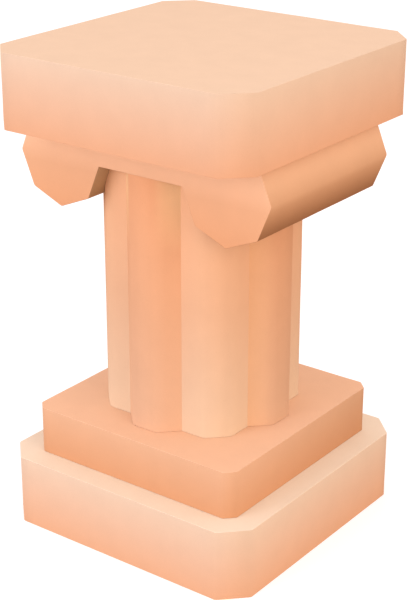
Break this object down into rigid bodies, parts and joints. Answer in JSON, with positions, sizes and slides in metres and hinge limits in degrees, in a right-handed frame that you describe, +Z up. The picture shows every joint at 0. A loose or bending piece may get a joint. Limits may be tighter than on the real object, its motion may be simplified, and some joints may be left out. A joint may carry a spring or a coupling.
{
  "type": "pedestal column",
  "caption": "Free-standing stone pedestal column: stepped square plinth, lobed shaft, scroll capital and square abacus.",
  "frame": {"origin": "middle of the lower plinth's underside, on the floor", "axes": "+Z up the column; the scrolls run along Y, so their ends face -Y, the front, and +Y, the back"},
  "size_m": [0.603, 0.6, 1.0012],
  "materials": {
    "pale_stone": "matte",
    "warm_stone": "matte",
    "shaft_stone": "matte",
    "capital_stone": "matte"
  },
  "bodies": {
    "root": {"lower_plinth": "pale_stone", "upper_plinth": "warm_stone", "shaft": "shaft_stone", "capital": "capital_stone", "abacus": "pale_stone"}
  },
  "joints": []
}
